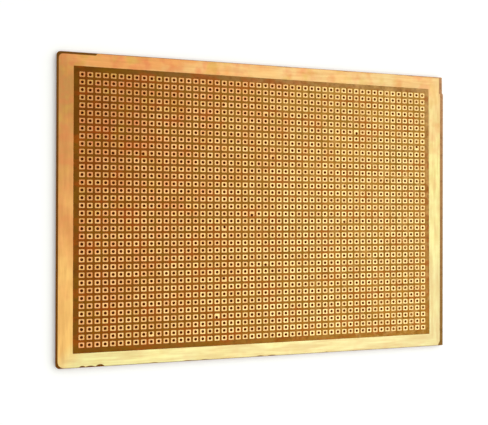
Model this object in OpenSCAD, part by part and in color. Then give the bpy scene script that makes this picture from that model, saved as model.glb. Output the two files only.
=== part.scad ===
// Prototype board: a stiff sheet of phenolic laminate with copper foil on one face.
// The foil is etched into a plain border and a grid of separate pads, and a hole for
// a component's lead goes through every pad and the sheet under it.
//
// Millimetres. The sheet lies flat with its copper up. The origin is under its middle,
// X runs along its length and Y along its width. Columns are counted from the left
// end, and rows from the top edge, which is the one with the highest Y.

/* [Grid] */
// Number of pads in a row
columns = 51; // [10:1:80]
// Number of rows
rows = 36; // [8:1:58]
// Distance between neighbouring pads, centre to centre, along X and along Y
pitch = 2.54; // [2.4:0.01:5.08]
// Length of a pad, along X
pad_len = 1.8; // [1.4:0.05:2.3]
// Width of a pad, along Y
pad_wid = 1.7; // [1.4:0.05:2.3]
// Diameter of the hole in each pad
hole_dia = 1; // [0.6:0.05:1.3]

/* [Border] */
// Bare strip between the outer columns and the border
margin_x = 1.8; // [0.5:0.01:5]
// Bare strip between the outer rows and the border
margin_y = 1.8; // [0.5:0.01:5]
// Width of the border at the left end
border_left = 4.8; // [2:0.05:12]
// Width of the border at the right end, where it is widest
border_right = 5.15; // [3:0.05:12]
// Width of the border along the top edge, at the right end, where it is widest
border_top = 4.75; // [3:0.05:12]
// Width of the border along the bottom edge
border_bottom = 4.55; // [2:0.05:12]
// Radius of the border's upper left corner
foil_top_left_r = 1.4; // [0.2:0.05:3]
// Radius of the border's lower left corner
foil_bottom_left_r = 2.1; // [0.2:0.05:3]
// Radius of the border's upper right corner
foil_top_right_r = 0.4; // [0.2:0.05:2]
// Length that is cut off the border's lower right corner, along X
corner_cut_x = 0.8; // [0.2:0.1:1.5]
// Length that is cut off the border's lower right corner, along Y
corner_cut_y = 1.6; // [0.2:0.1:5]

/* [Sheet] */
// Thickness of the finished sheet, foil and all
sheet_thick = 1.6; // [0.8:0.05:3.2]
// Thickness of the foil
foil_thick = 0.035; // [0.018:0.001:0.105]
// Bare strip outside the border at the left end
rim_left = 0.7; // [0.1:0.05:3]
// Bare strip outside the border at the right end
rim_right = 1.3; // [0.1:0.05:3]
// Bare strip outside the border along the top edge
rim_top = 0.12; // [0.05:0.01:3]
// Bare strip outside the border along the bottom edge
rim_bottom = 0.12; // [0.05:0.01:3]
// Radius of the sheet's corners at the left end
sheet_left_r = 1.4; // [0.1:0.05:3]
// Radius of the sheet's corners at the right end
sheet_right_r = 0.3; // [0.1:0.05:2]

/* [Flaws] */
// How much lower the sheared top edge is at the left end than at the right end
top_skew = 0.35; // [0:0.05:1]
// How much farther back the sheared right end is at the bottom edge than at its step
right_skew = 0.6; // [0:0.05:1]
// Distance of the step in the right end from the top edge
step_place = 6.6; // [2:0.1:40]
// Depth of the step, where sheet and border stand back above it
step_depth = 0.45; // [0.05:0.05:1]
// Length of the foil's top edge that is etched back, from the left end
etched_back_len = 12.5; // [3:0.5:20]
// Depth of that etching back
etched_back = 0.6; // [0.05:0.05:1]

/* [Hidden] */
$fn = 48;
// Angle between the points of a rounded corner
corner_step = 15;

// Thickness of the laminate under the foil
laminate_thick = sheet_thick - foil_thick;

// Half the bare window that holds the pads
window_half_x = (columns - 1) * pitch / 2 + pad_len / 2 + margin_x;
window_half_y = (rows - 1) * pitch / 2 + pad_wid / 2 + margin_y;

// Edges of the sheet
sheet_right = window_half_x + (border_left + border_right + rim_left + rim_right) / 2;
sheet_top = window_half_y + (border_bottom + border_top + rim_bottom + rim_top) / 2;
sheet_left = -sheet_right;
sheet_bottom = -sheet_top;

// Edges of the foil
foil_left = sheet_left + rim_left;
foil_right = sheet_right - rim_right;
foil_bottom = sheet_bottom + rim_bottom;
etched_end = sheet_left + etched_back_len;
step_y = sheet_top - step_place;

// Middle of the window and of the grid of pads
grid_x = foil_left + border_left + window_half_x;
grid_y = foil_bottom + border_bottom + window_half_y;

// Holes that were drilled away from the middle of their pad: [column, row, along X, along Y]
STRAY_HOLES = [
    [5, 11, -0.16, -0.26],
    [9, 11, -0.3, -0.2],
    [10, 35, -0.06, 0.26],
    [11, 5, -0.24, 0],
    [19, 33, -0.18, -0.42],
    [20, 4, -0.24, 0.04],
    [20, 21, 0.1, 0.38],
    [20, 28, -0.15, 0.29],
    [24, 19, -0.04, -0.42],
    [26, 5, 0.12, -0.24],
    [26, 26, -0.05, -0.28],
    [27, 11, 0.18, -0.27],
    [38, 15, 0.18, 0.13],
    [38, 20, 0.1, -0.28],
    [40, 7, 0.1, -0.38],
    [50, 9, 0, 0.38],
];

// Holes that go through the pad and stop at the laminate: [column, row]
BLIND_HOLES = [[20, 10]];

// Chips in the border's edge: [distance from the sheet's left end, length, depth]
BOTTOM_CHIPS = [
    [8.5, 2.1, 0.4],
    [11.1, 3.1, 0.35],
    [14.2, 2.8, 0.65],
    [32, 3, 0.12],
    [44, 4.6, 0.15],
    [49.5, 3.4, 0.15],
    [69.6, 2.9, 0.25],
    [74, 3.3, 0.2],
    [95, 1.4, 0.15],
];
TOP_CHIPS = [
    [78.5, 8, 0.1],
    [103.5, 7, 0.15],
    [125, 3.6, 0.15],
    [130.3, 4.2, 0.2],
    [135.2, 4.4, 0.2],
    [141, 3.8, 0.25],
];

function row_name(row) = str("pad_row_", row < 10 ? "0" : "", row);

// Height of the sheared top edge at a place along X
function top_edge(x) = sheet_top - top_skew * (sheet_right - x) / (sheet_right - sheet_left);

// How far the sheared right end is set back at a height below the step
function set_back(y) = right_skew * (step_y - y) / (step_y - sheet_bottom);

// Points of a quarter circle about a centre, anticlockwise from an angle
function corner(x, y, r, from) = [for (a = [0:corner_step:90]) [x + r * cos(from + a), y + r * sin(from + a)]];

// Centre of a pad
function pad_at(column, row) = [
    grid_x + (column - (columns + 1) / 2) * pitch,
    grid_y - (row - (rows + 1) / 2) * pitch
];

// How far a hole lies from the middle of its pad
function stray(column, row) = let (
    found = [for (s = STRAY_HOLES) if (s[0] == column && s[1] == row) [s[2], s[3]]]
) len(found) > 0 ? found[0] : [0, 0];

function is_blind(column, row) = len([for (b = BLIND_HOLES) if (b == [column, row]) b]) > 0;

module sheet_outline() {
    polygon(concat(
        corner(sheet_left + sheet_left_r, sheet_bottom + sheet_left_r, sheet_left_r, 180),
        corner(sheet_right - right_skew - sheet_right_r, sheet_bottom + sheet_right_r, sheet_right_r, 270),
        [[sheet_right, step_y], [sheet_right - step_depth, step_y + step_depth]],
        corner(sheet_right - step_depth - sheet_right_r, sheet_top - sheet_right_r, sheet_right_r, 0),
        corner(sheet_left + sheet_left_r, top_edge(sheet_left) - sheet_left_r, sheet_left_r, 90)
    ));
}

module border_outline() {
    cut_top = foil_bottom + corner_cut_y;
    right_top = top_edge(foil_right) - rim_top - foil_top_right_r;
    left_top = top_edge(foil_left) - rim_top - etched_back - foil_top_left_r;
    polygon(concat(
        corner(foil_left + foil_bottom_left_r, foil_bottom + foil_bottom_left_r, foil_bottom_left_r, 180),
        [[foil_right - right_skew - corner_cut_x, foil_bottom]],
        [[foil_right - set_back(cut_top), cut_top], [foil_right, step_y]],
        [[foil_right - step_depth, step_y + step_depth]],
        corner(foil_right - step_depth - foil_top_right_r, right_top, foil_top_right_r, 0),
        [[etched_end + etched_back, top_edge(etched_end) - rim_top]],
        [[etched_end, top_edge(etched_end) - rim_top - etched_back]],
        corner(foil_left + foil_top_left_r, left_top, foil_top_left_r, 90)
    ));
}

// A shallow bite out of an edge that runs along X at height y
module chip(from_left, y, length, depth) {
    r = (length * length / 4 + depth * depth) / (2 * depth);
    x = sheet_left + from_left;
    translate([x, y > grid_y ? y - depth + r : y + depth - r])
    circle(r);
}

module edge_chips() {
    for (c = BOTTOM_CHIPS) chip(c[0], foil_bottom, c[1], c[2]);
    for (c = TOP_CHIPS) chip(c[0], top_edge(sheet_left + c[0]) - rim_top, c[1], c[2]);
}

module foil() {
    translate([0, 0, laminate_thick])
    linear_extrude(foil_thick)
    children();
}

module laminate() {
    color("saddlebrown")
    linear_extrude(laminate_thick)
    difference() {
        sheet_outline();
        for (row = [1:rows], column = [1:columns])
            if (!is_blind(column, row))
                translate(pad_at(column, row) + stray(column, row)) circle(d = hole_dia);
    }
}

module copper_border() {
    color("sandybrown")
    foil()
    difference() {
        border_outline();
        translate([grid_x, grid_y]) square([2 * window_half_x, 2 * window_half_y], center = true);
        edge_chips();
    }
}

module pad_row(row) {
    color("burlywood")
    foil()
    for (column = [1:columns])
        translate(pad_at(column, row))
        difference() {
            square([pad_len, pad_wid], center = true);
            translate(stray(column, row)) circle(d = hole_dia);
        }
}

laminate();
copper_border();
for (row = [1:rows])
    pad_row(row);
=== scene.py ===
"""Prototype board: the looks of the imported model, its light and its camera.

Metres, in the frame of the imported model: X along the board, Y across it, Z up, with the
copper face up. Columns of pads are counted from the left and rows from the top.
"""

import math

import bmesh
import bpy
import numpy as np
from mathutils import Matrix, Vector, kdtree, noise
from mathutils.geometry import delaunay_2d_cdt


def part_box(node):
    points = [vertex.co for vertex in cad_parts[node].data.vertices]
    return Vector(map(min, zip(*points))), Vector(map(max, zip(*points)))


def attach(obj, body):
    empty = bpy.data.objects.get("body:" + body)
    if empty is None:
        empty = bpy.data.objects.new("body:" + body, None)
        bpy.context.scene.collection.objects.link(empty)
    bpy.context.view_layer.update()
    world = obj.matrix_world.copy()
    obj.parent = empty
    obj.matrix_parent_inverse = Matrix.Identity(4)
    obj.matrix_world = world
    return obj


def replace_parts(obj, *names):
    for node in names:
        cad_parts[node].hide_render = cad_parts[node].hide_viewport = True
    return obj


MM = 0.001

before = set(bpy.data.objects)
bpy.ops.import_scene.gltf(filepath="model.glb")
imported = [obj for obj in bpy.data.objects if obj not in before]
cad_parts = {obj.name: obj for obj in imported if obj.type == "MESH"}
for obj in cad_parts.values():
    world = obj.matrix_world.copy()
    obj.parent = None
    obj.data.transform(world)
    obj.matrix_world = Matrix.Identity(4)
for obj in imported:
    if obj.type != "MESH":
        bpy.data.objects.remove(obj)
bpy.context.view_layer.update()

# ---------------------------------------------------------------- sizes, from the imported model

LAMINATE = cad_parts["laminate"]
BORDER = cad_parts["copper_border"]
PAD_ROWS = [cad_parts[name] for name in sorted(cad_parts) if name.startswith("pad_row_")]

SHEET_LOW, SHEET_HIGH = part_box("laminate")
FOIL_LOW, FOIL_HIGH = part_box("copper_border")
ROW_LOW, ROW_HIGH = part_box(PAD_ROWS[0].name)
NEXT_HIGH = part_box(PAD_ROWS[1].name)[1]

LAMINATE_TOP = SHEET_HIGH.z
COPPER_TOP = FOIL_HIGH.z
PITCH = ROW_HIGH.y - NEXT_HIGH.y
PAD_WIDTH = ROW_HIGH.y - ROW_LOW.y
COLUMNS = 1 + int((ROW_HIGH.x - ROW_LOW.x) // PITCH)
PAD_LENGTH = ROW_HIGH.x - ROW_LOW.x - (COLUMNS - 1) * PITCH
FIRST_X = ROW_LOW.x + PAD_LENGTH / 2

# ---------------------------------------------------------------- fine shapes

CORNER_RADIUS = 0.14 * MM
CORNER_TURNS = (-90, -45, 0)
SIDE_SHARES = (0.33, 0.67)
EDGE_SLOPE = 0.03 * MM
LIP_WIDTH = 0.07 * MM
LIP_DROP = 0.012 * MM
HOLE_SIDES = 20
EDGE_STEP = 0.8 * MM
SHORTEST_SIDE = 0.05 * MM
EDGE_GRAIN = 1.7 * MM
EDGE_WOBBLE = 0.05 * MM

# Vertices this close are one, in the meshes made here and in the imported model's
WELD = 0.0001 * MM
CAD_WELD = 0.0005 * MM
# A pad's vertices that lie deeper inside it than this belong to its hole
ON_PAD_EDGE = 0.001 * MM
# How far from the centre of a pad's hole, in radii, the pad's outline is cut away, and how far the
# sheet's nearest vertex may lie for the sheet to count as drilled there
IN_HOLE = 1.0001
AT_HOLE = 1.1
# What Blender's fill keeps, which is the triangles inside the outlines, and how finely it tells
# points apart, in millimetres
FILL_KIND = 1
FILL_MARGIN = 1e-6

# Places of the materials in a mesh's list: face and lip on the pads, face, sawn edge and hole wall
# on the laminate
FACE, LIP = 0, 1
SAWN_EDGE, HOLE_WALL = 1, 2


def vertices(obj):
    """An object's vertices as rows of x, y and z."""
    flat = np.empty(3 * len(obj.data.vertices))
    obj.data.vertices.foreach_get("co", flat)
    return flat.reshape(-1, 3)


def circle_through(points):
    """Centre and radius of the circle that passes through points in a plane."""
    x, y = points.T
    system = np.stack([2 * x, 2 * y, np.ones(len(x))], axis=1)
    a, b, c = np.linalg.lstsq(system, x * x + y * y, rcond=None)[0]
    return np.array([a, b]), math.sqrt(c + a * a + b * b)


def read_pads(row):
    """For every pad of a row: its centre, the centre of its hole, and the hole's radius."""
    low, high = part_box(row.name)
    y_middle = (low.y + high.y) / 2
    points = vertices(row)[:, :2]
    column = np.rint((points[:, 0] - FIRST_X) / PITCH).astype(int)
    pads = []
    for i in range(COLUMNS):
        middle = np.array([FIRST_X + i * PITCH, y_middle])
        pad = points[column == i]
        edge = np.array([PAD_LENGTH, PAD_WIDTH]) / 2 - ON_PAD_EDGE
        inside = (np.abs(pad - middle) < edge).all(axis=1)
        pads.append((middle, *circle_through(pad[inside])))
    return pads


# ---------------------------------------------------------------- meshes


class Shape:
    """Vertices and faces gathered for one mesh."""

    def __init__(self):
        self.points = []
        self.faces = []
        self.slots = []

    def loop(self, outline, z):
        """Adds an outline, with one height or one for each point, and returns its numbers."""
        first = len(self.points)
        heights = np.broadcast_to(z, len(outline))
        self.points += [(x, y, height) for (x, y), height in zip(outline, heights)]
        return list(range(first, len(self.points)))

    def face(self, *corners, slot=FACE):
        """Adds a face with one of the mesh's materials."""
        self.faces.append(corners)
        self.slots.append(slot)

    def band(self, a, b, closed=True, slot=FACE):
        """Joins two outlines of equal length with quads; a lies to the right of b's direction."""
        last = len(a) if closed else len(a) - 1
        for i in range(last):
            j = (i + 1) % len(a)
            self.face(a[i], a[j], b[j], b[i], slot=slot)

    def fill(self, outer, inner, up):
        """Fills a flat face, facing up or down, from an anticlockwise outline to one inside it."""
        numbers = outer + inner
        places = [Vector(self.points[i][:2]) / MM for i in numbers]
        rings = [list(range(len(outer))), list(range(len(outer), len(numbers)))]
        filled = delaunay_2d_cdt(places, [], rings, FILL_KIND, FILL_MARGIN)
        _, _, triangles, sources, _, rings_round = filled
        for triangle, around in zip(triangles, rings_round):
            if around == [0]:
                corners = [numbers[sources[i][0]] for i in triangle]
                self.face(*(corners if up else corners[::-1]))

    def build(self, name, materials):
        """Makes the object and lets it ride on the board."""
        mesh = bpy.data.meshes.new(name)
        mesh.from_pydata(self.points, [], self.faces)
        mesh.update()
        for material in materials:
            mesh.materials.append(material)
        mesh.polygons.foreach_set("material_index", self.slots)
        welded = bmesh.new()
        welded.from_mesh(mesh)
        bmesh.ops.remove_doubles(welded, verts=welded.verts, dist=WELD)
        welded.to_mesh(mesh)
        welded.free()
        obj = bpy.data.objects.new(name, mesh)
        bpy.context.scene.collection.objects.link(obj)
        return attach(obj, "root")


def rounded_rectangle(middle, length, width, radius):
    """A rectangle with rounded corners and a point or two along each side, anticlockwise."""
    points = []
    for quarter in range(4):
        right, up = [(1, -1), (1, 1), (-1, 1), (-1, -1)][quarter]
        corner = middle + np.array([right * (length / 2 - radius), up * (width / 2 - radius)])
        for turn in CORNER_TURNS:
            angle = math.radians(90 * quarter + turn)
            points.append(corner + radius * np.array([math.cos(angle), math.sin(angle)]))
        along = np.array([(0, 1), (-1, 0), (0, -1), (1, 0)][quarter])
        side = (width if quarter % 2 == 0 else length) - 2 * radius
        points += [points[-1] + along * side * share for share in SIDE_SHARES]
    return np.array(points)


def cut_by_hole(outline, centre, radius):
    """The part of an outline outside a hole, from crossing to crossing, and whether it's whole."""
    outside = np.hypot(*(outline - centre).T) > radius * IN_HOLE
    if outside.all():
        return outline, True
    first = next(i for i in range(len(outline)) if outside[i] and not outside[i - 1])
    outline = np.roll(outline, -first, axis=0)
    count = int(np.argmin(np.roll(outside, -first)))
    start = crossing(outline[-1], outline[0], centre, radius)
    end = crossing(outline[count], outline[count - 1], centre, radius)
    return np.vstack([start, outline[:count], end]), False


def crossing(inner, outer, centre, radius):
    """Where the line from a point inside a circle to one outside crosses it."""
    step, offset = outer - inner, inner - centre
    a, b, c = step @ step, 2 * offset @ step, offset @ offset - radius * radius
    share = (-b + math.sqrt(max(b * b - 4 * a * c, 0))) / (2 * a)
    return inner + share * step


def add_pad(shape, middle, centre, radius, bottom, top):
    """One etched pad: sloping edges, and a lip round the hole that the drill pressed down."""
    outline = rounded_rectangle(middle, PAD_LENGTH, PAD_WIDTH, CORNER_RADIUS)
    outline, whole = cut_by_hole(outline, centre, radius)
    away = outline - centre
    distance = np.hypot(*away.T)[:, None]
    direction = away / distance
    rim = centre + direction * radius
    face_reach = np.maximum(distance - EDGE_SLOPE, radius)
    lip_reach = np.minimum(face_reach, radius + LIP_WIDTH)
    drop = LIP_DROP * (lip_reach - radius)[:, 0] / LIP_WIDTH
    foot = shape.loop(outline, bottom)
    edge = shape.loop(centre + direction * face_reach, top)
    lip = shape.loop(centre + direction * lip_reach, top)
    throat = shape.loop(rim, top - drop)
    sole = shape.loop(rim, bottom)
    shape.band(foot, edge, whole)
    shape.band(edge, lip, whole)
    shape.band(lip, throat, whole, LIP)
    shape.band(throat, sole, whole, LIP)
    shape.band(sole, foot, whole)


def drilled_face(shape, corners, holes, outline, up):
    """A face of the sheet: a square round every hole, and a strip from them to the sheet's edge."""
    rows, columns = len(holes), len(holes[0])
    for i in range(rows):
        for j in range(columns):
            square = [corners[i + 1][j], corners[i + 1][j + 1], corners[i][j + 1], corners[i][j]]
            if holes[i][j]:
                shape.fill(square, holes[i][j], up)
            else:
                shape.face(*(square if up else square[::-1]))
    ring = corners[rows] + [corners[i][columns] for i in range(rows - 1, 0, -1)]
    ring += corners[0][::-1] + [corners[i][0] for i in range(1, rows)]
    shape.fill(outline, ring, up)


def circle(centre, radius):
    """Points of a hole's edge, anticlockwise."""
    turns = [2 * math.pi * k / HOLE_SIDES for k in range(HOLE_SIDES)]
    return [centre + radius * np.array([math.cos(turn), math.sin(turn)]) for turn in turns]


def make_laminate(pads, materials):
    """The sheet, with a hole behind every pad except where the drill stopped at the laminate."""
    shape = Shape()
    points = vertices(LAMINATE)
    outline = outlines(LAMINATE)[0]
    known = kdtree.KDTree(len(points))
    for i, (x, y, _) in enumerate(points):
        known.insert((x, y, 0), i)
    known.balance()

    def drilled(centre, radius):
        return known.find((*centre, 0))[2] < AT_HOLE * radius

    middles = [[middle for middle, _, _ in row] for row in pads]
    edge_x = [middle[0] - PITCH / 2 for middle in middles[0]] + [middles[0][-1][0] + PITCH / 2]
    edge_y = [row[0][1] + PITCH / 2 for row in middles] + [middles[-1][0][1] - PITCH / 2]
    sides = {}
    for z in (SHEET_LOW.z, SHEET_HIGH.z):
        corners = [shape.loop([(x, y) for x in edge_x], z) for y in edge_y]
        holes = [
            [shape.loop(circle(*hole), z) if drilled(*hole) else None for _, *hole in row]
            for row in pads
        ]
        edge = shape.loop(outline, z)
        drilled_face(shape, corners, holes, edge, up=z == SHEET_HIGH.z)
        sides[z] = edge, [hole for row in holes for hole in row if hole]
    (low_edge, low_holes), (high_edge, high_holes) = sides.values()
    shape.band(low_edge, high_edge, slot=SAWN_EDGE)
    for low, high in zip(low_holes, high_holes):
        shape.band(high, low, slot=HOLE_WALL)
    obj = shape.build("laminate_drilled", materials)
    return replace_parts(obj, "laminate")


def outlines(obj):
    """The closed outlines of a flat node's upper face, the longest first, all anticlockwise."""
    cad = bmesh.new()
    cad.from_mesh(obj.data)
    bmesh.ops.remove_doubles(cad, verts=cad.verts, dist=CAD_WELD)
    others = [face for face in cad.faces if face.normal.z < 0.5]
    bmesh.ops.delete(cad, geom=others, context="FACES_ONLY")
    following = {}
    for edge in cad.edges:
        if len(edge.link_loops) == 1:
            loop = edge.link_loops[0]
            following[loop.vert.index] = loop.link_loop_next.vert.index
    places = {v.index: np.array(v.co[:2]) for v in cad.verts}
    cad.free()
    found = []
    while following:
        start = next(iter(following))
        ring = [start]
        while following[ring[-1]] != start:
            ring.append(following[ring[-1]])
        for i in ring:
            del following[i]
        found.append(np.array([places[i] for i in ring]))
    outer, *inner = sorted(found, key=lambda ring: -np.ptp(ring[:, 0]))
    return [outer, *(ring[::-1] for ring in inner)]


def divided(ring, step):
    """A closed outline without its very short sides, and with points added along its long ones."""
    ring = ring[np.hypot(*(ring - np.roll(ring, 1, axis=0)).T) > SHORTEST_SIDE]
    points = []
    for start, end in zip(ring, np.roll(ring, -1, axis=0)):
        parts = max(1, round(math.dist(start, end) / step))
        points += [start + (end - start) * i / parts for i in range(parts)]
    return np.array(points)


def pushed(ring, distance):
    """An anticlockwise outline with every point moved to its left."""
    along = np.roll(ring, -1, axis=0) - np.roll(ring, 1, axis=0)
    along /= np.hypot(*along.T)[:, None]
    left = np.stack([-along[:, 1], along[:, 0]], axis=1)
    return ring + left * np.reshape(distance, (-1, 1))


def etched(ring):
    """How far the acid ate back from the drawn edge at each point of an outline."""
    waves = np.array([noise.noise(Vector((x, y, 0)) / EDGE_GRAIN) for x, y in ring])
    return EDGE_WOBBLE * (0.5 + 0.5 * waves)


def make_border(material):
    """The ring of foil round the pads, with the ragged, sloping edges that etching leaves."""
    shape = Shape()
    outer, window = [divided(ring, EDGE_STEP) for ring in outlines(BORDER)]
    outer = pushed(outer, etched(outer))
    window = pushed(window, -etched(window))
    outer_foot, window_foot = shape.loop(outer, LAMINATE_TOP), shape.loop(window, LAMINATE_TOP)
    outer_edge = shape.loop(pushed(outer, EDGE_SLOPE), COPPER_TOP)
    window_edge = shape.loop(pushed(window, -EDGE_SLOPE), COPPER_TOP)
    shape.band(outer_foot, outer_edge)
    shape.fill(outer_edge, window_edge, up=True)
    shape.band(window_edge, window_foot)
    shape.fill(outer_foot, window_foot, up=False)
    obj = shape.build("border_etched", [material])
    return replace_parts(obj, "copper_border")


def make_pad_row(row, pads, materials):
    """The pads of one row."""
    shape = Shape()
    for middle, centre, radius in pads:
        add_pad(shape, middle, centre, radius, LAMINATE_TOP, COPPER_TOP)
    obj = shape.build(row.name.replace("pad_row", "pads_etched"), materials)
    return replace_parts(obj, row.name)


# ---------------------------------------------------------------- materials


def srgb(red, green, blue):
    """The linear values that shaders take, from a colour as it shows on screen, 0 to 255."""
    shares = [value / 255 for value in (red, green, blue)]
    return (*(s / 12.92 if s <= 0.04045 else ((s + 0.055) / 1.055) ** 2.4 for s in shares), 1)


class Nodes:
    """A tree of shader nodes. Every method takes sockets or plain values and returns a socket."""

    def __init__(self, tree, shader, place):
        self.tree = tree
        self.shader = tree.nodes[shader]
        self.place = self.node("ShaderNodeTexCoord").outputs[place]

    def node(self, kind, inputs=(), **settings):
        made = self.tree.nodes.new(kind)
        for name, value in settings.items():
            setattr(made, name, value)
        for socket, value in dict(inputs).items():
            self.feed(made.inputs[socket], value)
        return made

    def feed(self, socket, value):
        if isinstance(value, bpy.types.NodeSocket):
            self.tree.links.new(value, socket)
        else:
            socket.default_value = value

    def set(self, **sockets):
        """Feeds the shader's sockets, named with _ for each space."""
        for name, value in sockets.items():
            self.feed(self.shader.inputs[name.replace("_", " ")], value)

    def noise(self, size, stretch=(1, 1, 1), detail=3.0, shift=0.0):
        """Clouds from 0 to 1, with spots about as large as size, stretched along some axes."""
        scaled = self.vector("MULTIPLY", self.place, tuple(1 / (size * s) for s in stretch))
        moved = self.vector("ADD", scaled, (shift, shift, shift))
        inputs = {"Vector": moved, "Scale": 1.0, "Detail": detail}
        return self.node("ShaderNodeTexNoise", inputs).outputs["Fac"]

    def math(self, operation, a, b=0.0):
        return self.node("ShaderNodeMath", {0: a, 1: b}, operation=operation).outputs[0]

    def vector(self, operation, a, b=(0, 0, 0), output="Vector"):
        return self.node("ShaderNodeVectorMath", {0: a, 1: b}, operation=operation).outputs[output]

    def sum(self, *values):
        total = 0.0
        for value in values:
            total = self.math("ADD", value, total)
        return total

    def product(self, *values):
        total = 1.0
        for value in values:
            total = self.math("MULTIPLY", value, total)
        return total

    def fit(self, value, low, high, to_low=0.0, to_high=1.0):
        """A value from between two limits carried over to between two others, and held there."""
        from_limits = {"Value": value, "From Min": low, "From Max": high}
        to_limits = {"To Min": to_low, "To Max": to_high}
        return self.node("ShaderNodeMapRange", from_limits | to_limits).outputs[0]

    def mix(self, share, a, b):
        """One colour turning into another as share goes from 0 to 1."""
        return self.node("ShaderNodeMix", {0: share, 6: a, 7: b}, data_type="RGBA").outputs[2]

    def axis(self, name):
        return self.node("ShaderNodeSeparateXYZ", {0: self.place}).outputs[name]

    def along(self, direction):
        """How far a place lies along a direction from the middle of the board, in metres."""
        return self.vector("DOT_PRODUCT", self.place, direction, "Value")

    def bump(self, height, distance):
        inputs = {"Height": height, "Distance": distance, "Strength": 1.0}
        return self.node("ShaderNodeBump", inputs).outputs[0]

    def seen_by(self, *rays):
        """1 for rays of these kinds and 0 for the others."""
        path = self.node("ShaderNodeLightPath")
        share = 0.0
        for ray in rays:
            share = self.math("MAXIMUM", path.outputs[f"Is {ray} Ray"], share)
        return share


class Paint(Nodes):
    """The nodes of one material."""

    def __init__(self, name):
        self.material = bpy.data.materials.new(name)
        self.material.use_nodes = True
        super().__init__(self.material.node_tree, "Principled BSDF", "Object")


# The copper's colour is partly painted light: pale along the bottom and the right, a painted
# reflection of the lights, and darker and warmer at the left, painted shade over the copper's own
# orange with its tarnish.
# Each list gives places along a direction across the board, and the copper's colour there.
BORDER_TOWARDS = (0.3, -0.95, 0.0)
BORDER_TARNISH_AND_PAINTED_LIGHT = [
    (-63 * MM, srgb(252, 181, 106)),
    (-50 * MM, srgb(251, 204, 132)),
    (-20 * MM, srgb(246, 218, 150)),
    (0 * MM, srgb(245, 238, 160)),
    (60 * MM, srgb(242, 234, 170)),
]
# The left end of the border is painted darker at its top, painted shade, and paler at its bottom,
# painted reflection.
LEFT_END_TOWARDS = (0.0, -1.0, 0.0)
LEFT_END_TARNISH_AND_PAINTED_LIGHT = [
    (-38 * MM, srgb(213, 154, 84)),
    (0 * MM, srgb(239, 173, 101)),
    (25 * MM, srgb(253, 204, 118)),
]
# The pads are painted darker and warmer towards the upper left, painted shade, and paler towards
# the lower right, painted reflection.
PADS_TOWARDS = (0.85, -0.53, 0.0)
PADS_TARNISH_AND_PAINTED_LIGHT = [
    (-62 * MM, srgb(228, 168, 105)),
    (-40 * MM, srgb(251, 200, 130)),
    (0 * MM, srgb(249, 217, 145)),
    (36 * MM, srgb(249, 225, 155)),
]
BLOTCH_SIZE, BLOTCH_REACH = 9 * MM, 14 * MM
SPOT_SIZE = 4 * MM
RED_COPPER, YELLOW_COPPER = srgb(240, 132, 84), srgb(226, 186, 84)
WARM_START, WARM_END = 20 * MM, -60 * MM
LEAST_WARM, MOST_WARM = 0.1, 0.55
BLACK = (0, 0, 0, 1)
# How dark the painted shade at the border's right end gets, holding back the lights' brighter
# reflection there.
MOST_PAINTED_SHADE = 0.17
STREAK_WIDTH, STREAK_STRETCH = 1.1 * MM, 10
BRUSHED_COPPER, DRILLED_COPPER = srgb(200, 130, 70), srgb(222, 122, 22)
SCRATCH_SIZE, SCRATCH_DEPTH = 0.25 * MM, 0.004 * MM
COLOUR_BLEND, STREAK_BLEND = 9 * MM, 3 * MM


def tarnish_and_painted_light(paint, towards, stops):
    """The copper's colour from place to place, partly painted light and partly tarnish, in
    blotches, some red or yellow where it is warm.
    """
    blotches = paint.fit(paint.noise(BLOTCH_SIZE), 0.3, 0.7, -BLOTCH_REACH, BLOTCH_REACH)
    place = paint.sum(paint.along(towards), blotches)
    (start, colour), *others = stops
    for end, shade in others:
        colour = paint.mix(paint.fit(place, start, end), colour, shade)
        start = end
    warm = paint.fit(paint.along(towards), WARM_START, WARM_END, LEAST_WARM, MOST_WARM)
    red = paint.fit(paint.noise(SPOT_SIZE, shift=7.0), 0.48, 0.68)
    yellow = paint.fit(paint.noise(SPOT_SIZE, shift=11.0), 0.48, 0.68)
    colour = paint.mix(paint.product(red, warm), colour, RED_COPPER)
    return paint.mix(paint.product(yellow, warm), colour, YELLOW_COPPER)


def beyond(paint, axis, low, high):
    """How far a place lies outside two limits along an axis, below 0 between them."""
    away = paint.math("ABSOLUTE", paint.math("SUBTRACT", paint.axis(axis), (low + high) / 2))
    return paint.math("SUBTRACT", away, (high - low) / 2)


def at_ends(paint, blend):
    """1 on the border's two ends and 0 on its long sides, blended over a distance between them."""
    past_end = beyond(paint, "X", FOIL_LOW.x, FOIL_HIGH.x)
    past_side = beyond(paint, "Y", FOIL_LOW.y, FOIL_HIGH.y)
    return paint.fit(paint.math("SUBTRACT", past_end, past_side), -blend / 2, blend / 2)


def border_colour(paint):
    """The border is warmer at its left end, and painted shade darkens it a little towards its right
    end, where the lights reflect more brightly.
    """
    on_left = paint.math("LESS_THAN", paint.axis("X"), 0.0)
    left_end = paint.product(at_ends(paint, COLOUR_BLEND), on_left)
    sides = tarnish_and_painted_light(paint, BORDER_TOWARDS, BORDER_TARNISH_AND_PAINTED_LIGHT)
    colour = paint.mix(left_end, sides, tarnish_and_painted_light(paint, LEFT_END_TOWARDS, LEFT_END_TARNISH_AND_PAINTED_LIGHT))
    # Painted shade: the copper is darkened towards the right end, against the lights' brighter
    # reflection there.
    painted_shade_to_right = paint.fit(paint.axis("X"), FOIL_LOW.x, FOIL_HIGH.x, 0.0, MOST_PAINTED_SHADE)
    return paint.mix(painted_shade_to_right, colour, BLACK)


def border_streaks(paint):
    """Brushed streaks that run along whichever side of the border they are on."""
    lengthwise = paint.noise(STREAK_WIDTH, (STREAK_STRETCH, 1, 1))
    crosswise = paint.noise(STREAK_WIDTH, (1, STREAK_STRETCH, 1))
    inputs = {0: at_ends(paint, STREAK_BLEND), 2: lengthwise, 3: crosswise}
    return paint.node("ShaderNodeMix", inputs, data_type="FLOAT").outputs[0]


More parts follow.
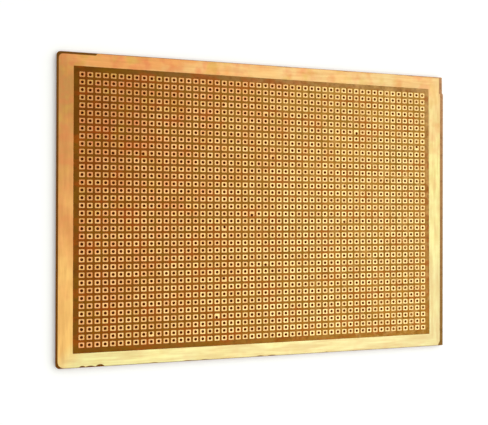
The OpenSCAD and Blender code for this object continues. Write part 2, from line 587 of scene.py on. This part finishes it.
def pads_colour(paint):
    """The pads are warmer towards the upper left, with painted shade there and a painted reflection
    of the lights at the lower right.
    """
    return tarnish_and_painted_light(paint, PADS_TOWARDS, PADS_TARNISH_AND_PAINTED_LIGHT)


def lips_colour(paint):
    """Round the holes the drill left the copper darker, least at the right end."""
    darker = paint.fit(paint.axis("X"), 0.0, FOIL_HIGH.x, 0.8, 0.4)
    return paint.mix(darker, pads_colour(paint), DRILLED_COPPER)


def pad_tints(paint):
    """One random value for every pad."""
    first_cell = (FIRST_X - PITCH / 2, ROW_LOW.y + PAD_WIDTH / 2 - PITCH / 2, 0)
    away = paint.vector("SUBTRACT", paint.place, first_cell)
    cell = paint.vector("FLOOR", paint.vector("MULTIPLY", away, (1 / PITCH, 1 / PITCH, 0)))
    random = paint.node("ShaderNodeTexWhiteNoise", {"Vector": cell}, noise_dimensions="3D")
    return random.outputs["Value"]


def copper(name, colour, streaks, contrast):
    """Satin copper with tarnish and painted light in its colour, faint streaks and fine scratches.
    """
    paint = Paint(name)
    streak = streaks(paint)
    scratches = paint.noise(SCRATCH_SIZE)
    brushed = paint.fit(streak, 0.35, 0.65, 0.0, contrast)
    paint.set(
        Base_Color=paint.mix(brushed, colour(paint), BRUSHED_COPPER),
        Metallic=0.85,
        Roughness=paint.fit(streak, 0.3, 0.7, 0.42, 0.54),
        Normal=paint.bump(scratches, SCRATCH_DEPTH),
    )
    return paint.material


# The laminate is painted lighter towards the right end, painted light where the lights fall
# brighter. Its colours are warmer among the pads than in the strips round them and in the rim
# outside the foil. Each of the three has a colour for every corner
# of the board: top left, top right, bottom left and bottom right.
LAMINATE_LIGHT_START, LAMINATE_LIGHT_END = -55 * MM, 30 * MM
AMONG_PADS = srgb(120, 60, 6), srgb(192, 139, 54), srgb(142, 75, 6), srgb(182, 122, 36)
ROUND_PADS = srgb(108, 62, 8), srgb(192, 147, 87), srgb(125, 75, 14), srgb(179, 124, 42)
RIM = srgb(112, 70, 22), srgb(196, 146, 100), srgb(112, 64, 10), srgb(142, 106, 50)
CLOUD_SIZE, CLOUDS = 6 * MM, srgb(136, 94, 10)
FIBRE_WIDTH, FIBRES = 0.35 * MM, srgb(98, 50, 4)
RED_SIZE, RED_SPOTS = 3 * MM, srgb(176, 76, 14)
PALE_SIZE, PALE_SPOTS = 2.2 * MM, srgb(228, 178, 104)
DARK_SIZE, DARK_SPOTS = 1.6 * MM, srgb(84, 48, 4)
# Where the painted light towards the right end starts and ends
RIGHT_LIGHT_START, RIGHT_LIGHT_END = -10 * MM, 60 * MM
PAINTED_LIGHT_WALL = srgb(242, 204, 112)
LAYER_THICKNESS, GRAIN_SIZE = 0.12 * MM, 0.3 * MM
FIBRE_DEPTH, GRAIN_DEPTH = 0.01 * MM, 0.03 * MM
YELLOW_SHEEN = (1.0, 0.85, 0.45, 1)
LAST_ROW_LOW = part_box(PAD_ROWS[-1].name)[0]


def outside(paint, low, high, start, end):
    """How far a place lies outside a box seen from above, as 0 at one distance and 1 at another."""
    away = [beyond(paint, "X", low.x, high.x), beyond(paint, "Y", low.y, high.y)]
    return paint.fit(paint.math("MAXIMUM", *away), start, end)


def between_corners(paint, top_left, top_right, bottom_left, bottom_right):
    """A colour that fades from corner to corner of the board, the painted light of the laminate."""
    across = paint.fit(paint.axis("X"), LAMINATE_LIGHT_START, LAMINATE_LIGHT_END)
    top = paint.mix(across, top_left, top_right)
    bottom = paint.mix(across, bottom_left, bottom_right)
    return paint.mix(paint.fit(paint.axis("Y"), SHEET_LOW.y, SHEET_HIGH.y), bottom, top)


def laminate_face():
    """Phenolic paper laminate: brown, mottled, with the faint weave of its paper, and painted
    lighter towards the right end.
    """
    paint = Paint("laminate_face")
    cloud = paint.noise(CLOUD_SIZE)
    fibre = paint.noise(FIBRE_WIDTH, (5, 1, 1))
    among_pads = between_corners(paint, *AMONG_PADS)
    round_pads = between_corners(paint, *ROUND_PADS)
    in_strips = outside(paint, Vector((ROW_LOW.x, LAST_ROW_LOW.y)), ROW_HIGH, 0.0, 0.5 * MM)
    in_rim = outside(paint, FOIL_LOW, FOIL_HIGH, -1.5 * MM, -1.0 * MM)
    colour = paint.mix(in_strips, among_pads, round_pads)
    colour = paint.mix(paint.fit(cloud, 0.4, 0.65, 0.0, 0.5), colour, CLOUDS)
    red = paint.fit(paint.noise(RED_SIZE, (2, 1, 1), shift=3.0), 0.48, 0.66, 0.0, 0.5)
    colour = paint.mix(red, colour, RED_SPOTS)
    # Painted light: pale spots show more strongly towards the right end.
    painted_light_to_right = paint.fit(paint.axis("X"), RIGHT_LIGHT_START, RIGHT_LIGHT_END, 0.0, 0.5)
    pale = paint.fit(paint.noise(PALE_SIZE, shift=9.0), 0.5, 0.68)
    colour = paint.mix(paint.product(pale, painted_light_to_right), colour, PALE_SPOTS)
    colour = paint.mix(in_rim, colour, between_corners(paint, *RIM))
    dark = paint.fit(paint.noise(DARK_SIZE, detail=2.0, shift=5.0), 0.5, 0.7, 0.0, 0.35)
    colour = paint.mix(dark, colour, DARK_SPOTS)
    colour = paint.mix(paint.fit(fibre, 0.3, 0.7, 0.0, 0.2), colour, FIBRES)
    paint.set(
        Base_Color=colour,
        Roughness=paint.fit(cloud, 0.3, 0.7, 0.4, 0.5),
        Specular_IOR_Level=0.08,
        Specular_Tint=YELLOW_SHEEN,
        Normal=paint.bump(fibre, FIBRE_DEPTH),
    )
    return paint.material


def painted_light_walls(paint):
    """Painted light: towards the right end the walls of some holes are painted paler than those of
    others.
    """
    painted_light_to_right = paint.fit(paint.axis("X"), RIGHT_LIGHT_START, RIGHT_LIGHT_END)
    return paint.product(painted_light_to_right, paint.fit(pad_tints(paint), 0.2, 0.9, 0.0, 0.8))


def laminate_cut(name, dark, light, painted_light_share=lambda paint: 0.0):
    """Walls that a saw or a drill left in the laminate, rough and layered."""
    paint = Paint(name)
    layers = paint.noise(LAYER_THICKNESS, (12, 12, 1), detail=2.0)
    grain = paint.noise(GRAIN_SIZE)
    colour = paint.mix(paint.fit(layers, 0.35, 0.65), dark, light)
    # Painted light: some hole walls are turned paler.
    colour = paint.mix(painted_light_share(paint), colour, PAINTED_LIGHT_WALL)
    paint.set(
        Base_Color=colour,
        Roughness=0.8,
        Specular_IOR_Level=0.1,
        Normal=paint.bump(grain, GRAIN_DEPTH),
    )
    return paint.material


# ---------------------------------------------------------------- the board

PADS = [read_pads(row) for row in PAD_ROWS]
SAWN = laminate_cut("laminate_sawn", srgb(118, 66, 18), srgb(164, 104, 40))
# The hole walls are painted lighter than the sawn edge, painted light in the shaded holes, and
# paler still towards the right end.
DRILLED = laminate_cut("laminate_drilled", srgb(176, 92, 6), srgb(214, 136, 26), painted_light_walls)
make_laminate(PADS, [laminate_face(), SAWN, DRILLED])
make_border(copper("border_copper", border_colour, border_streaks, contrast=0.3))
PAD_COPPER = [
    copper("pad_copper", pads_colour, pad_tints, contrast=0.16),
    copper("lip_copper", lips_colour, pad_tints, contrast=0.16),
]
for cad_row, row_pads in zip(PAD_ROWS, PADS):
    make_pad_row(cad_row, row_pads, PAD_COPPER)

# ---------------------------------------------------------------- floor, light and camera

FLOOR_SIZE = 4.0
FLOOR_GLOW = 0.12
FLOOR_GAP = 0.03 * MM
FLOOR_COLOUR = (0.94, 0.95, 0.91, 1)
# Painted shade: the floor under the board, seen through the holes.
PAINTED_SHADE_UNDER_BOARD = (0.4, 0.12, 0.01, 1)
UNDER_BOARD_INSET = 3 * MM
SKY_LIGHT = 2.9
SKY_TOWARDS = (1.0, 0.4, 0.0)
HORIZON_FADE = 8
KEY_PLACE = Vector((0.06, -0.05, 0.369))
KEY_SIZE = (0.36, 0.3)
KEY_WATTS = 0.41


def make_floor():
    """A white floor that shows shadows, painted dark brown under the board as painted shade, which
    shows through the holes.

    It glows faintly in the picture, so that it reads as white.
    """
    paint = Paint("floor")
    clear = 0.0
    for axis, reach in (("X", SHEET_HIGH.x), ("Y", SHEET_HIGH.y)):
        away = paint.math("ABSOLUTE", paint.axis(axis))
        out = paint.math("GREATER_THAN", away, reach - UNDER_BOARD_INSET)
        clear = paint.math("MAXIMUM", out, clear)
    # Painted shade: dark brown under the board, white beyond it.
    paint.set(Base_Color=paint.mix(clear, PAINTED_SHADE_UNDER_BOARD, FLOOR_COLOUR), Roughness=0.9)
    glow = paint.product(clear, paint.seen_by("Camera", "Glossy", "Transmission"), FLOOR_GLOW)
    paint.set(Emission_Color=(1, 1, 1, 1), Emission_Strength=glow)
    half = FLOOR_SIZE / 2
    mesh = bpy.data.meshes.new("floor")
    corners = [(-half, -half, 0), (half, -half, 0), (half, half, 0), (-half, half, 0)]
    mesh.from_pydata(corners, [], [(0, 1, 2, 3)])
    mesh.materials.append(paint.material)
    floor = bpy.data.objects.new("floor", mesh)
    floor.location.z = -FLOOR_GAP
    bpy.context.scene.collection.objects.link(floor)


def make_sky():
    """Soft light from all round, most from halfway up on the right. The picture shows it white."""
    world = bpy.data.worlds.new("sky")
    bpy.context.scene.world = world
    world.use_nodes = True
    sky = Nodes(world.node_tree, "Background", "Generated")
    height = sky.math("MAXIMUM", sky.axis("Z"), 0.0)
    halfway_up = sky.product(height, sky.math("SUBTRACT", 1.0, sky.math("POWER", height, 2)))
    brighter = sky.math("MAXIMUM", sky.sum(sky.along(SKY_TOWARDS), 1.0), 0.0)
    horizon = sky.math("POWER", sky.math("SUBTRACT", 1.0, height), HORIZON_FADE)
    light = sky.sum(sky.product(halfway_up, brighter, SKY_LIGHT), horizon)
    sky.set(Color=(1, 1, 1, 1), Strength=sky.math("MAXIMUM", light, sky.seen_by("Camera")))


def aim(obj, target):
    """Turns a light or a camera to face a place, with the board's Y up in the picture."""
    ahead = (Vector(target) - obj.location).normalized()
    right = ahead.cross((0, 1, 0)).normalized()
    obj.rotation_mode = "QUATERNION"
    turned = Matrix((right, right.cross(ahead), -ahead)).transposed()
    obj.rotation_quaternion = turned.to_quaternion()


def soft_box(name, place, size, watts):
    """A light that faces the board and that the camera doesn't see."""
    light = bpy.data.lights.new(name, "AREA")
    light.shape = "RECTANGLE"
    light.size, light.size_y = size
    light.energy = watts
    box = bpy.data.objects.new(name, light)
    box.location = place
    box.visible_camera = False
    aim(box, (0, 0, 0))
    bpy.context.scene.collection.objects.link(box)


CAMERA_PLACE = Vector((-72.925, -4.125, 219.1)) * MM
CAMERA_TARGET = Vector((-8.525, -0.925, 1.6)) * MM
CAMERA_LENS = 47.5
CAMERA_START = 0.01
SENSOR_WIDTH = 36.0


def make_camera():
    data = bpy.data.cameras.new("camera")
    data.sensor_width = SENSOR_WIDTH
    data.lens = CAMERA_LENS
    data.clip_start = CAMERA_START
    camera = bpy.data.objects.new("camera", data)
    camera.location = CAMERA_PLACE
    aim(camera, CAMERA_TARGET)
    bpy.context.scene.collection.objects.link(camera)
    bpy.context.scene.camera = camera


make_floor()
make_sky()
soft_box("key", KEY_PLACE, KEY_SIZE, KEY_WATTS)
make_camera()
bpy.context.scene.view_settings.view_transform = "Standard"
